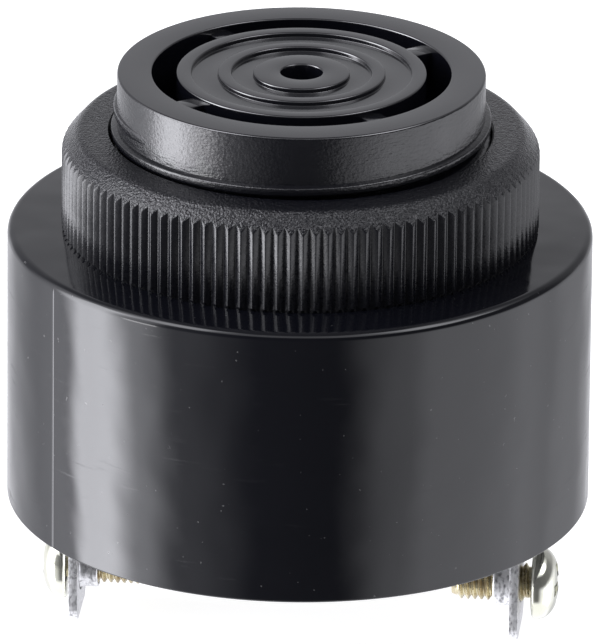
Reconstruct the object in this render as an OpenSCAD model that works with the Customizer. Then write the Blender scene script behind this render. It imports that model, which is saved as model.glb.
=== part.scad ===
// Panel-mount piezo buzzer: a round body with a threaded neck, a knurled ring nut
// and two screw terminals. The origin is on the axis, on the face that seats on the
// panel, and +Z points out of the sound grille.

/* [Body] */
// Outside diameter of the body
body_d = 43.2; // [41:0.1:48]
// Height of the body behind the panel face
body_h = 21.1; // [19:0.1:28]
// Wall of the body
body_wall = 1.9; // [1.6:0.1:2.2]
// Thickness of the front of the body
front_t = 2; // [1.5:0.1:3]
// Rounding of the front edge of the body
body_round = 0.5; // [0.2:0.1:1]
// Rounding of the rear edge of the body
base_round = 0.2; // [0.1:0.05:0.4]

/* [Neck] */
// Height of the neck in front of the panel face
neck_h = 12.1; // [11:0.1:16]
// Diameter of the plain land at the front of the neck
land_d = 27.1; // [26.4:0.1:27.4]
// Diameter at the crest of the neck thread
thread_d = 28; // [27.6:0.1:28.4]
// Lead-in chamfer at the front end of the thread
thread_lead = 0.5; // [0.2:0.05:1]
// Length of the thread from the panel face
thread_l = 9.2; // [8:0.1:10]
// Inside diameter of the neck
neck_bore_d = 22; // [21:0.1:23]
// Rounding of the front edge of the neck
neck_round = 0.12; // [0.06:0.02:0.5]

/* [Grille] */
// Width of the sound slots round the grille disc
slot_w = 1.8; // [1.2:0.1:2.4]
// Thickness of the grille disc
disc_t = 2; // [1.6:0.1:3]
// Depth of the grooves between the raised rings
groove_depth = 0.7; // [0.3:0.1:1]
// Width of the outer raised ring
outer_ring_w = 1.1; // [0.6:0.1:1.6]
// Outside of the inner raised ring, as a share of the disc's radius
inner_ring_share = 0.6685; // [0.6:0.0005:0.75]
// Width of the inner raised ring
inner_ring_w = 1; // [0.6:0.1:1.5]
// Outside of the middle boss, as a share of the disc's radius
boss_share = 0.386; // [0.3:0.002:0.45]
// Middle sound hole, as a share of the disc's radius
sound_hole_share = 0.1685; // [0.1:0.0005:0.22]
// Number of spokes that carry the disc
spoke_n = 4; // [3:1:6]
// Width of a spoke
spoke_w = 1.7; // [1:0.1:2.5]
// How far a spoke lies below the front of the neck
spoke_drop = 0.45; // [0.2:0.05:0.8]
// Direction of the first spoke
spoke_angle = 39; // [0:1:89]

/* [Ring nut] */
// Diameter over the knurl
nut_d = 35.2; // [33:0.1:38]
// Height of the nut
nut_h = 7.55; // [5:0.05:9]
// Number of knurl teeth
tooth_n = 120; // [90:1:140]
// Depth of a knurl groove
tooth_depth = 0.36; // [0.2:0.02:0.5]
// Share of a tooth's pitch that its crest takes up
crest_share = 0.26; // [0.1:0.02:0.5]
// Share of a tooth's pitch that the bottom of its groove takes up
root_share = 0.14; // [0.06:0.02:0.3]
// Width of the bevel round the top of the nut
nut_bevel_w = 1; // [0.6:0.1:1.6]
// Height of the bevel round the top of the nut
nut_bevel_h = 1.35; // [0.8:0.05:2]
// Chamfer round the bottom of the nut
nut_base_bevel = 0.25; // [0.1:0.05:0.5]
// Countersink at both ends of the nut's thread
nut_sink = 0.25; // [0.15:0.05:0.8]
// Radial clearance of the nut on the crest of the thread
nut_clear = 0.1; // [0.05:0.05:0.3]

/* [Terminals] */
// Distance of each terminal inside the edge of the body
terminal_inset = 5.15; // [4.5:0.05:6.5]
// Thickness of the terminal strip
strip_t = 0.65; // [0.5:0.05:1]
// Width of a terminal blade
blade_w = 6.4; // [5:0.1:7]
// Length of a blade behind the rear of the body
blade_l = 10.4; // [9:0.1:14]
// Chamfer on the corners at the end of a blade
tip_chamfer = 0.8; // [0.4:0.1:1.5]
// Width of the tang that goes through to the board
tang_w = 2.6; // [1.6:0.1:4]
// How far the tang stands out of the front of the board
tang_proud = 0.8; // [0.4:0.1:1.5]
// Outside diameter of the tapped collar
collar_d = 3.6; // [3.5:0.1:4.6]
// Length of the tapped collar
collar_l = 1.35; // [0.8:0.05:2]
// Distance of the screw behind the rear of the body
screw_drop = 6.7; // [5.5:0.05:7]

/* [Terminal screws] */
// Diameter of the screw thread
screw_d = 2.9; // [2.6:0.1:3]
// Length of the screw under its head
screw_l = 6; // [4:0.1:8]
// Chamfer at the end of the screw
screw_point = 0.3; // [0.1:0.05:0.5]
// Diameter of the screw head
head_d = 5.5; // [5:0.1:6]
// Height of the screw head
head_h = 1.95; // [1.6:0.05:2.4]
// Height of the straight side of the head
head_side = 0.8; // [0.4:0.05:1.2]
// Length of the cross recess
recess_l = 2.9; // [2:0.1:3.6]
// Width of the cross recess
recess_w = 0.8; // [0.5:0.05:1]
// Depth of the cross recess
recess_depth = 1.1; // [0.6:0.05:1.3]
// Radial clearance of the screw in the collar
screw_clear = 0.1; // [0.05:0.05:0.2]
// How far the left screw is backed out
left_backed_out = 0.3; // [0:0.02:1.5]
// How far the right screw is backed out
right_backed_out = 0.88; // [0:0.02:1.5]

/* [Sounding disc] */
// Room between the brass plate and the wall of the body
plate_room = 2.1; // [2:0.1:3]
// Thickness of the brass plate
plate_t = 0.3; // [0.2:0.05:0.5]
// Width of the bare plate round the ceramic
plate_margin = 5; // [4:0.1:6.5]
// Thickness of the ceramic
ceramic_t = 0.25; // [0.2:0.05:0.4]
// Margin of bare ceramic round the electrode
electrode_margin = 1; // [0.5:0.1:2]
// Thickness of the electrodes
electrode_t = 0.1; // [0.05:0.05:0.2]
// Width of the feedback electrode
feedback_w = 4; // [3:0.1:5]
// Bare gap between the electrodes
electrode_gap = 0.6; // [0.3:0.1:1]
// Height of the rim that the plate sits on
seat_rim_h = 3; // [2:0.1:4]
// Width of the rim that the plate sits on
seat_rim_w = 1.5; // [1:0.1:2]
// How far the plate overhangs the rim
plate_overhang = 0.25; // [0.1:0.05:0.5]
// Thickness of the silicone bead round the plate
bead_t = 0.7; // [0.4:0.1:0.9]

/* [Board and cover] */
// Thickness of the board
board_t = 1.6; // [1:0.1:2]
// Radial clearance of the board in the body
board_clear = 0.3; // [0.1:0.1:0.6]
// Room between the board and the rear cover
board_room = 1.7; // [1.4:0.1:3]
// Thickness of the rear cover
cover_t = 2; // [1.5:0.1:3]
// How far the cover lies inside the rear edge
cover_recess = 0.3; // [0:0.1:1]
// Width of the step that the cover sits on
cover_step = 0.5; // [0.3:0.1:0.8]
// Radial clearance of the cover
cover_clear = 0.1; // [0.05:0.05:0.2]
// Clearance round the tangs in the cover and the board
tang_clear = 0.1; // [0.05:0.05:0.2]
// Width of the ribs that the board sits on
rib_w = 1.6; // [1:0.1:3]
// How far a rib reaches in from the wall
rib_reach = 1.2; // [0.8:0.1:1.3]

/* [Circuit] */
// Diameter of the component legs
leg_d = 0.5; // [0.4:0.05:0.7]
// How far a leg stands out of the rear of the board
leg_proud = 0.9; // [0.6:0.1:1.1]
// Diameter of a solder joint under the board
joint_d = 1.1; // [0.9:0.05:1.2]
// Diameter of a solder dot on the sounding disc
dot_d = 1.8; // [1.4:0.1:2]
// Height of a solder dot on the sounding disc
dot_h = 0.5; // [0.3:0.1:0.8]
// Outside diameter of the leads
lead_d = 0.9; // [0.7:0.1:1.2]
// Diameter of the coil's drum core
drum_d = 8; // [6:0.2:9]
// Height of the coil's drum core
drum_h = 7; // [5:0.2:8]
// Diameter of the capacitor
capacitor_d = 5; // [4:0.1:6.3]
// Height of the capacitor
capacitor_h = 7; // [5:0.2:8]
// Diameter of the transistor
transistor_d = 4.8; // [4:0.1:5.2]
// Diameter of the resistors
resistor_d = 2.3; // [1.8:0.1:2.6]
// Length of the resistors
resistor_l = 6.2; // [4:0.1:6.8]
// Diameter of the diode
diode_d = 2.6; // [2:0.1:2.8]
// Length of the diode
diode_l = 5.2; // [4:0.1:6]
// Distance between the legs of a resistor or the diode
axial_span = 10; // [9.5:0.1:10.5]

/* [Hidden] */
$fn = 64;
eps = 0.01;
// Overrun of a cut past the face that it opens
cut = 1;
// How far a spoke runs into the wall of the neck
spoke_root = 0.5;

body_r = body_d / 2;
cavity_r = body_r - body_wall;
neck_bore_r = neck_bore_d / 2;
disc_r = neck_bore_r - slot_w;
inner_ring_r = disc_r * inner_ring_share;
boss_r = disc_r * boss_share;
sound_hole_r = disc_r * sound_hole_share;
nut_r = nut_d / 2;
nut_bore_r = thread_d / 2 + nut_clear;

// Levels of the stack inside the body, from the front to the rear
plate_z = -front_t - seat_rim_h;
ceramic_z = plate_z - plate_t;
electrode_z = ceramic_z - ceramic_t;
element_z = electrode_z - electrode_t;
cover_rear_z = -body_h + cover_recess;
cover_z = cover_rear_z + cover_t;
board_rear_z = cover_z + board_room;
board_z = board_rear_z + board_t;
board_r = cavity_r - board_clear;

plate_r = cavity_r - plate_room;
rim_r = plate_r - plate_overhang;
ceramic_r = plate_r - plate_margin;
electrode_r = ceramic_r - electrode_margin;
terminal_x = body_r - terminal_inset;
blade_tip_z = -body_h - blade_l;
screw_z = -body_h - screw_drop;
tang_z = board_z + tang_proud;
collar_bore_r = screw_d / 2 + screw_clear;
rib_angle = 45;
rib_n = 4;

// Where each component stands, in shares of the board's radius
coil_at = board_r * [0.415, 0.44];
capacitor_at = board_r * [-0.31, 0.52];
transistor_at = board_r * [0.49, -0.26];
base_resistor_at = board_r * [-0.233, -0.44];
bias_resistor_at = board_r * [-0.233, -0.622];
// The diode stands beside the left terminal
diode_inset = 4.9;
diode_at = [diode_inset - terminal_x, board_r * 0.026];
plate_lead_at = [0, (rim_r - seat_rim_w + ceramic_r) / 2];
main_lead_at = board_r * [0, -0.26];
feedback_angle = -52;
feedback_lead_at = polar((electrode_r + electrode_gap) * 0.75, feedback_angle);

// Pitch of the legs of the upright components
coil_pitch = 5;
capacitor_pitch = 2;
transistor_pitch = 1.27;
transistor_lift = 1.5;
transistor_h = 4.6;
transistor_flat = 1.2;
leg_hole_clear = 0.1;

// Flanges and middle of the coil's drum core
drum_flange = 1.2;
drum_core_d = drum_d / 2;

// Bow of a lead to one side, and the rings that it is swept through
lead_bow = 1.2;
lead_steps = 10;
lead_sides = 10;

legs = concat(
    leg_pair(coil_at, coil_pitch, 0),
    leg_pair(capacitor_at, capacitor_pitch, 0),
    leg_pair(transistor_at, 2 * transistor_pitch, 0), [transistor_at],
    leg_pair(base_resistor_at, axial_span, 0),
    leg_pair(bias_resistor_at, axial_span, 0),
    leg_pair(diode_at, axial_span, 90)
);
leads = [plate_lead_at, main_lead_at, feedback_lead_at];

function polar(r, a) = [r * cos(a), r * sin(a)];
function leg_pair(at, pitch, a) = [at - polar(pitch / 2, a), at + polar(pitch / 2, a)];

// Solid of revolution with rounded outer corners
module turned(r, z0, z1, top = 0, base = 0) {
    translate([0, 0, z0])
        rotate_extrude()
            half_block(r, z1 - z0, top, base);
}

module half_block(r, h, top, base) {
    difference() {
        square([r, h]);
        if (top > 0)
            translate([r - top, h - top])
                corner(top);
        if (base > 0)
            translate([r - base, base])
                mirror([0, 1])
                    corner(base);
    }
}

// What a rounding takes off a square corner
module corner(r) {
    difference() {
        square(r + eps);
        circle(r);
    }
}

module ring(r_out, r_in, z0, z1) {
    difference() {
        turned(r_out, z0, z1);
        turned(r_in, z0 - cut, z1 + cut);
    }
}

// Housing: cup, neck and grille in one moulding
module housing() {
    color("#1b1b1d")
    union() {
        difference() {
            union() {
                turned(body_r, -body_h, 0, body_round, base_round);
                rotate_extrude()
                    thread_outline();
                turned(land_d / 2, -front_t, neck_h, neck_round);
            }
            turned(cavity_r, -body_h - cut, -front_t);
            turned(cavity_r + cover_step, -body_h - cut, cover_z);
            turned(neck_bore_r, -front_t - cut, neck_h + cut);
        }
        grille_disc();
        grille_spokes();
        ring(rim_r, rim_r - seat_rim_w, plate_z, -front_t + eps);
        board_ribs();
    }
}

// Half section of the threaded stretch of the neck, at the crest of the thread
module thread_outline() {
    polygon([
        [0, -front_t],
        [thread_d / 2, -front_t],
        [thread_d / 2, thread_l - thread_lead],
        [thread_d / 2 - thread_lead, thread_l],
        [0, thread_l]
    ]);
}

module grille_disc() {
    difference() {
        turned(disc_r, neck_h - disc_t, neck_h, neck_round / 2);
        ring(disc_r - outer_ring_w, inner_ring_r, neck_h - groove_depth, neck_h + cut);
        ring(inner_ring_r - inner_ring_w, boss_r, neck_h - groove_depth, neck_h + cut);
        turned(sound_hole_r, neck_h - disc_t - cut, neck_h + cut);
    }
}

module grille_spokes() {
    inner_r = disc_r - outer_ring_w / 2;
    for (i = [0 : spoke_n - 1])
        rotate(spoke_angle + i * 360 / spoke_n)
            translate([inner_r, -spoke_w / 2, neck_h - disc_t])
                cube([neck_bore_r + spoke_root - inner_r, spoke_w, disc_t - spoke_drop]);
}

module board_ribs() {
    intersection() {
        ring(cavity_r + eps, cavity_r - rib_reach, board_z, -front_t + eps);
        for (i = [0 : rib_n - 1])
            rotate(rib_angle + i * 360 / rib_n)
                translate([0, -rib_w / 2, board_z])
                    cube([body_r, rib_w, -front_t - board_z + eps]);
    }
}

// Ring nut: knurled blank with a bevelled shoulder
module ring_nut() {
    color("#202022")
    difference() {
        intersection() {
            linear_extrude(nut_h)
                polygon(knurl());
            rotate_extrude()
                nut_outline();
        }
        translate([0, 0, -cut])
            cylinder(h = nut_h + 2 * cut, r = nut_bore_r);
        translate([0, 0, nut_h])
            mirror([0, 0, 1])
                nut_countersink();
        nut_countersink();
    }
}

function knurl() = [
    for (i = [0 : tooth_n - 1], c = knurl_corners())
        polar(c[0], (i + c[1]) * 360 / tooth_n)
];
function knurl_corners() = [
    [nut_r, -crest_share / 2],
    [nut_r, crest_share / 2],
    [nut_r - tooth_depth, (1 - root_share) / 2],
    [nut_r - tooth_depth, (1 + root_share) / 2]
];

module nut_outline() {
    polygon([
        [0, 0],
        [nut_r - nut_base_bevel, 0],
        [nut_r, nut_base_bevel],
        [nut_r, nut_h - nut_bevel_h],
        [nut_r - nut_bevel_w, nut_h],
        [0, nut_h]
    ]);
}

module nut_countersink() {
    translate([0, 0, -eps])
        cylinder(h = nut_sink + eps, r1 = nut_bore_r + nut_sink + eps, r2 = nut_bore_r);
}

// Sounding disc
module piezo_plate() {
    color("#c9a24a")
        turned(plate_r, ceramic_z, plate_z);
}

module piezo_ceramic() {
    color("#d8d4c4")
        turned(ceramic_r, electrode_z, ceramic_z);
}

module feedback_outline(margin) {
    r_in = electrode_r / 2;
    rotate(feedback_angle)
        union() {
            translate([r_in, 0])
                circle(feedback_w / 2 + margin);
            translate([r_in, -feedback_w / 2 - margin])
                square([ceramic_r, feedback_w + 2 * margin]);
        }
}

module main_electrode() {
    color("#c8c9cc")
        translate([0, 0, element_z])
            linear_extrude(electrode_t)
                difference() {
                    circle(electrode_r);
                    feedback_outline(electrode_gap);
                }
}

module feedback_electrode() {
    color("#c8c9cc")
        translate([0, 0, element_z])
            linear_extrude(electrode_t)
                intersection() {
                    circle(electrode_r);
                    feedback_outline(0);
                }
}

// Silicone bead: wraps the edge of the plate and grips the rim
module mounting_bead() {
    color("#dcdcd6")
        rotate_extrude()
            polygon([
                [rim_r, plate_z],
                [rim_r, plate_z + bead_t],
                [plate_r + bead_t, plate_z],
                [plate_r + bead_t, ceramic_z],
                [plate_r, ceramic_z - bead_t],
                [plate_r - 2 * bead_t, ceramic_z],
                [plate_r, ceramic_z],
                [plate_r, plate_z]
            ]);
}

module solder_dot(at, z) {
    translate([at[0], at[1], z - dot_h])
        cylinder(h = dot_h, d1 = lead_d, d2 = dot_d);
}

module element_solder() {
    color("#b9bcc0")
    union() {
        solder_dot(plate_lead_at, ceramic_z);
        solder_dot(main_lead_at, element_z);
        solder_dot(feedback_lead_at, element_z);
    }
}

// Lead that bows to one side between its two ends, swept in level rings
function lead_ring(at, z, t, toward) = [
    for (k = [0 : lead_sides - 1])
        let (p = at + polar(lead_bow * pow(sin(180 * t), 2), toward))
        let (q = p + polar(lead_d / 2, k * 360 / lead_sides))
        [q[0], q[1], z]
];

module bowed_lead(at, z_top, toward) {
    h = z_top - dot_h - board_z;
    n = lead_sides;
    points = [
        for (i = [0 : lead_steps])
            each lead_ring(at, board_z + h * i / lead_steps, i / lead_steps, toward)
    ];
    sides = [
        for (i = [0 : lead_steps - 1], k = [0 : n - 1])
            [i * n + k, (i + 1) * n + k, (i + 1) * n + (k + 1) % n, i * n + (k + 1) % n]
    ];
    base = [for (k = [0 : n - 1]) k];
    top = [for (k = [n - 1 : -1 : 0]) lead_steps * n + k];
    union() {
        polyhedron(points = points, faces = concat(sides, [base, top]));
        translate([at[0], at[1], board_rear_z - leg_proud])
            cylinder(h = board_t + leg_proud + eps, d = leg_d);
    }
}

// Round rod bent in the XZ plane from one angle to another
module bend(r, from, to, d) {
    rotate([90, 0, 0])
        rotate([0, 0, from])
            rotate_extrude(angle = to - from)
                translate([r, 0])
                    circle(d = d);
}

module plate_lead() {
    color("#2a2a2c")
        bowed_lead(plate_lead_at, ceramic_z, 180);
}

module main_lead() {
    color("#b03024")
        bowed_lead(main_lead_at, element_z, 90);
}

module feedback_lead() {
    color("#3556a0")
        bowed_lead(feedback_lead_at, element_z, 180);
}

// Circuit board: a disc with drilled leg holes and slots for the tangs
module circuit_board() {
    color("#a8793f")
    difference() {
        turned(board_r, board_rear_z, board_z);
        for (p = concat(legs, leads))
            translate([p[0], p[1], board_rear_z - cut])
                cylinder(h = board_t + 2 * cut, d = leg_d + 2 * leg_hole_clear);
        tang_slots(board_rear_z, board_z);
    }
}

module tang_slots(z0, z1) {
    for (side = [-1, 1])
        translate([side * terminal_x, 0, (z0 + z1) / 2])
            cube([strip_t + 2 * tang_clear, tang_w + 2 * tang_clear, z1 - z0 + 2 * cut], center = true);
}

module board_solder() {
    color("#b9bcc0")
        for (p = concat(legs, leads))
            translate([p[0], p[1], board_rear_z - leg_proud / 2])
                difference() {
                    cylinder(h = leg_proud / 2, d1 = leg_d + leg_hole_clear, d2 = joint_d);
                    translate([0, 0, -cut])
                        cylinder(h = leg_proud + 2 * cut, d = leg_d);
                }
}

// Straight leg through the board, up to a height above it
module leg(p, up) {
    translate([p[0], p[1], board_rear_z - leg_proud])
        cylinder(h = board_t + leg_proud + up, d = leg_d);
}

// Coil: a ferrite drum on two pins, and its winding
module drum_core() {
    color("#3b3d42")
    union() {
        translate([coil_at[0], coil_at[1], board_z])
            union() {
                cylinder(h = drum_flange, d = drum_d);
                cylinder(h = drum_h, d = drum_core_d);
                translate([0, 0, drum_h - drum_flange])
                    cylinder(h = drum_flange, d = drum_d);
            }
        for (p = leg_pair(coil_at, coil_pitch, 0))
            leg(p, eps);
    }
}

module coil_winding() {
    color("#b5622c")
        translate([coil_at[0], coil_at[1], 0])
            ring(drum_d * 0.45, drum_core_d / 2, board_z + drum_flange, board_z + drum_h - drum_flange);
}

module drive_transistor() {
    color("#222224")
    union() {
        translate([transistor_at[0], transistor_at[1], board_z + transistor_lift])
            linear_extrude(transistor_h)
                difference() {
                    circle(d = transistor_d);
                    translate([-transistor_d, transistor_flat])
                        square(2 * transistor_d);
                }
        for (i = [-1 : 1])
            leg(transistor_at + [i * transistor_pitch, 0], transistor_lift + eps);
    }
}

// Component that lies on the board between two bent legs
module axial(at, a, d, l) {
    bend_r = d / 2;
    rise = board_z + bend_r;
    reach = axial_span / 2;
    translate([at[0], at[1], 0])
        rotate(a)
            union() {
                translate([-l / 2, 0, rise])
                    rotate([0, 90, 0])
                        cylinder(h = l, d = d);
                for (side = [0, 1])
                    mirror([side, 0, 0])
                        axial_leg(reach, bend_r, rise, l);
            }
}

module axial_leg(reach, bend_r, rise, l) {
    straight = reach - bend_r - l / 2;
    translate([l / 2 - eps, 0, rise])
        rotate([0, 90, 0])
            cylinder(h = straight + eps, d = leg_d);
    translate([reach - bend_r, 0, board_z])
        bend(bend_r, 0, 90, leg_d);
    translate([reach, 0, board_rear_z - leg_proud])
        cylinder(h = board_t + leg_proud, d = leg_d);
}

module base_resistor() {
    color("#c8a878")
        axial(base_resistor_at, 0, resistor_d, resistor_l);
}

module bias_resistor() {
    color("#c8a878")
        axial(bias_resistor_at, 0, resistor_d, resistor_l);
}

module polarity_diode() {
    color("#2a2a2c")
        axial(diode_at, 90, diode_d, diode_l);
}

module supply_capacitor() {
    color("#24324f")
    union() {
        translate([capacitor_at[0], capacitor_at[1], 0])
            turned(capacitor_d / 2, board_z, board_z + capacitor_h, 0.4, 0.2);
        for (p = leg_pair(capacitor_at, capacitor_pitch, 0))
            leg(p, eps);
    }
}

// Solder round each tang on the front of the board
module terminal_solder() {
    color("#b9bcc0")
        for (side = [-1, 1])
            translate([side * terminal_x, 0, board_z])
                difference() {
                    cylinder(h = tang_proud, d1 = tang_w + 2 * joint_d, d2 = tang_w + joint_d / 2);
                    cube([strip_t, tang_w, 3 * tang_proud], center = true);
                }
}

module rear_cover() {
    color("#222224")
    difference() {
        turned(cavity_r + cover_step - cover_clear, cover_rear_z, cover_z, 0, base_round);
        tang_slots(cover_rear_z, cover_z);
    }
}

// Terminal: tang, blade with a chamfered end, and a tapped collar on its inner face
module terminal(side) {
    mirror([side < 0 ? 1 : 0, 0, 0])
        translate([terminal_x, 0, 0])
            difference() {
                union() {
                    rotate([90, 0, 90])
                        translate([0, 0, -strip_t / 2])
                            linear_extrude(strip_t)
                                terminal_outline();
                    translate([-strip_t / 2 - collar_l, 0, screw_z])
                        rotate([0, 90, 0])
                            cylinder(h = collar_l + eps, d = collar_d);
                }
                translate([-strip_t - collar_l, 0, screw_z])
                    rotate([0, 90, 0])
                        cylinder(h = 2 * strip_t + collar_l, r = collar_bore_r);
            }
}

module terminal_outline() {
    polygon([
        [-tang_w / 2, tang_z],
        [-tang_w / 2, cover_rear_z],
        [-blade_w / 2, cover_rear_z],
        [-blade_w / 2, blade_tip_z + tip_chamfer],
        [-blade_w / 2 + tip_chamfer, blade_tip_z],
        [blade_w / 2 - tip_chamfer, blade_tip_z],
        [blade_w / 2, blade_tip_z + tip_chamfer],
        [blade_w / 2, cover_rear_z],
        [tang_w / 2, cover_rear_z],
        [tang_w / 2, tang_z]
    ]);
}

module terminal_left() {
    color("#c9cacb")
        terminal(-1);
}

module terminal_right() {
    color("#c9cacb")
        terminal(1);
}

// Terminal screw with its head outward, backed out from the blade
module screw(side, backed_out) {
    mirror([side < 0 ? 1 : 0, 0, 0])
        translate([terminal_x + strip_t / 2 + backed_out, 0, screw_z])
            rotate([0, 90, 0])
                union() {
                    screw_head();
                    screw_shank();
                }
}

module screw_head() {
    dome_h = head_h - head_side;
    dome_r = (head_d * head_d / 4 + dome_h * dome_h) / (2 * dome_h);
    difference() {
        intersection() {
            cylinder(h = head_h, d = head_d);
            translate([0, 0, head_h - dome_r])
                sphere(r = dome_r);
        }
        for (a = [0, 90])
            rotate(a)
                translate([-recess_l / 2, -recess_w / 2, head_h - recess_depth])
                    cube([recess_l, recess_w, recess_depth + cut]);
    }
}

module screw_shank() {
    screw_r = screw_d / 2;
    translate([0, 0, -screw_l])
        union() {
            cylinder(h = screw_point, r1 = screw_r - screw_point, r2 = screw_r);
            translate([0, 0, screw_point])
                cylinder(h = screw_l - screw_point + eps, r = screw_r);
        }
}

module screw_left() {
    color("#d8d6c0")
        screw(-1, left_backed_out);
}

module screw_right() {
    color("#d8d6c0")
        screw(1, right_backed_out);
}

housing();
ring_nut();
piezo_plate();
piezo_ceramic();
main_electrode();
feedback_electrode();
mounting_bead();
element_solder();
plate_lead();
main_lead();
feedback_lead();
circuit_board();
board_solder();
drum_core();
coil_winding();
drive_transistor();
base_resistor();
bias_resistor();
polarity_diode();
supply_capacitor();
terminal_solder();
rear_cover();
terminal_left();
terminal_right();
screw_left();
screw_right();
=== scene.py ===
import math

import bmesh
import bpy
from mathutils import Matrix, Vector


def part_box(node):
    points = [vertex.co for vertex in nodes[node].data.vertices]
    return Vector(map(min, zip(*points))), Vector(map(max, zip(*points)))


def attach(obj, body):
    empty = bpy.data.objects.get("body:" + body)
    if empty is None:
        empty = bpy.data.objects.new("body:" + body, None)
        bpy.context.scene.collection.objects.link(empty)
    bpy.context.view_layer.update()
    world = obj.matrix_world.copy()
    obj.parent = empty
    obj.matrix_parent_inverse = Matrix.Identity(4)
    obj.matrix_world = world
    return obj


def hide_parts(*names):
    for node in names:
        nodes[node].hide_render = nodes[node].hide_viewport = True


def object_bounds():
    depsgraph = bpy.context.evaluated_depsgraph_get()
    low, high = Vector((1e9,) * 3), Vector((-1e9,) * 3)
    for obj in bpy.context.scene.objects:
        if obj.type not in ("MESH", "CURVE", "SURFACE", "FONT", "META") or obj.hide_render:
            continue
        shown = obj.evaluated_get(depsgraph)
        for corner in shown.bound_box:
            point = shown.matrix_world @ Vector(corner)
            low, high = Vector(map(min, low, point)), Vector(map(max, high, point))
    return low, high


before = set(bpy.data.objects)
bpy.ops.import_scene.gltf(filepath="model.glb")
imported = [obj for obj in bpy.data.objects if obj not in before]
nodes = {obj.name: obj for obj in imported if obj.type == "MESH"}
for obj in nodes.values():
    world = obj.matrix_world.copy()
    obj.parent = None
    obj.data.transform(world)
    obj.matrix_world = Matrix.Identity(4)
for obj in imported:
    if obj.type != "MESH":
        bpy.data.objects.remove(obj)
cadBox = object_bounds()
scene = bpy.context.scene
print("frame loaded,", len(nodes), "nodes")

mm = 0.001  # shapes are made in millimetres and shrunk to metres at the end
mergeGap = 0.0005  # vertices nearer than this, in millimetres, become one
fullTurn = 2 * math.pi
upAxis = (0, 0, 1)
turnToX = Matrix.Rotation(math.pi / 2, 4, "Y")  # takes +Z to +X
sides = ("left", "right")


def nodeBox(node):
    low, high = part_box(node)
    return low / mm, high / mm


# shape helpers


def wire(bm, points, closed=True):
    # vertices in a row, joined by edges
    ring = [bm.verts.new(p) for p in points]
    loop = ring + ring[:1] if closed else ring
    return ring, [bm.edges.new(pair) for pair in zip(loop, loop[1:])]


def bevel(bm, geom, width, segments, affect, clamp=False):
    bmesh.ops.bevel(bm, geom=geom, offset=width, offset_type="OFFSET", segments=segments,
                    profile=0.5, affect=affect, clamp_overlap=clamp, material=-1)


def turned(corners, steps, segments=5):
    # corners are (radius, height, rounding) in order; a section that ends off the axis is closed
    bm = bmesh.new()
    ring = wire(bm, [(r, 0, z) for r, z, _ in corners], corners[-1][0] > 0)[0]
    for rounding in sorted({c[2] for c in corners if c[2] > 0}):
        picked = [v for v, c in zip(ring, corners) if c[2] == rounding]
        bevel(bm, picked, rounding, segments, "VERTICES")
    bmesh.ops.spin(bm, geom=bm.verts[:] + bm.edges[:], cent=(0, 0, 0), axis=upAxis,
                   dvec=(0, 0, 0), angle=fullTurn, steps=steps, use_merge=True)
    tidy(bm)
    return bm


def helix(section, base, pitch, turns, topZ, topAngle, fade, stepsPerTurn=96):
    # a ridge swept down a right-hand thread; at both ends it sinks to the base over fade turns
    bm = bmesh.new()
    ring, first = wire(bm, [(r, 0, topZ + dz) for r, dz in section])
    bmesh.ops.rotate(bm, verts=ring, cent=(0, 0, 0), matrix=Matrix.Rotation(topAngle, 3, "Z"))
    steps = round(turns * stepsPerTurn)
    swept = bmesh.ops.spin(bm, geom=bm.verts[:] + bm.edges[:], cent=(0, 0, 0), axis=upAxis,
                           dvec=(0, 0, -pitch / stepsPerTurn),
                           angle=-fullTurn * steps / stepsPerTurn, steps=steps, use_merge=False)
    last = [g for g in swept["geom_last"] if isinstance(g, bmesh.types.BMEdge)]
    for i, v in enumerate(bm.verts):
        done = (i // len(ring)) / stepsPerTurn
        share = min(1, done / fade, (turns - done) / fade)
        r = math.hypot(v.co.x, v.co.y)
        pull = (base + (r - base) * share) / r
        v.co.x *= pull
        v.co.y *= pull
    for edges in (first, last):
        bmesh.ops.contextual_create(bm, geom=edges)
    tidy(bm)
    return bm


def ridgeSection(hidden, root, crest, halfFoot, halfCrest):
    # a ridge with sloping flanks, closed at a hidden radius
    upper = [(crest, halfCrest), (root, halfFoot), (hidden, halfFoot)]
    return [(r, -dz) for r, dz in reversed(upper)] + upper


def tidy(bm):
    bmesh.ops.remove_doubles(bm, verts=bm.verts, dist=mergeGap)
    bmesh.ops.recalc_face_normals(bm, faces=bm.faces)


def joined(shapes):
    bm = bmesh.new()
    for shape in shapes:
        mesh = bpy.data.meshes.new("part")
        shape.to_mesh(mesh)
        shape.free()
        bm.from_mesh(mesh)
        bpy.data.meshes.remove(mesh)
    return bm


def cutAway(body, tool):
    # body less tool, both bmeshes
    made = []
    for bm in (body, tool):
        mesh = bpy.data.meshes.new("cut")
        bm.to_mesh(mesh)
        bm.free()
        made.append(bpy.data.objects.new("cut", mesh))
        scene.collection.objects.link(made[-1])
    cut = made[0].modifiers.new("cut", "BOOLEAN")
    cut.operation = "DIFFERENCE"
    cut.solver = "EXACT"
    cut.object = made[1]
    bpy.context.view_layer.update()
    result = bmesh.new()
    result.from_object(made[0], bpy.context.evaluated_depsgraph_get())
    for o in made:
        bpy.data.objects.remove(o)
    tidy(result)
    return result


def roundEdges(bm, width, minAngle=30):
    sharp = [e for e in bm.edges if len(e.link_faces) == 2
             and e.calc_face_angle(0) > math.radians(minAngle)]
    bevel(bm, sharp, width, 2, "EDGES", clamp=True)


def pushOut(bm, faces, reach):
    # extrudes the faces and gives the vertices of the far side
    pushed = bmesh.ops.extrude_face_region(bm, geom=faces)
    far = [g for g in pushed["geom"] if isinstance(g, bmesh.types.BMVert)]
    bmesh.ops.translate(bm, vec=reach, verts=far)
    return far


def place(bm, matrix):
    bmesh.ops.transform(bm, verts=bm.verts, matrix=matrix)
    return bm


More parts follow.
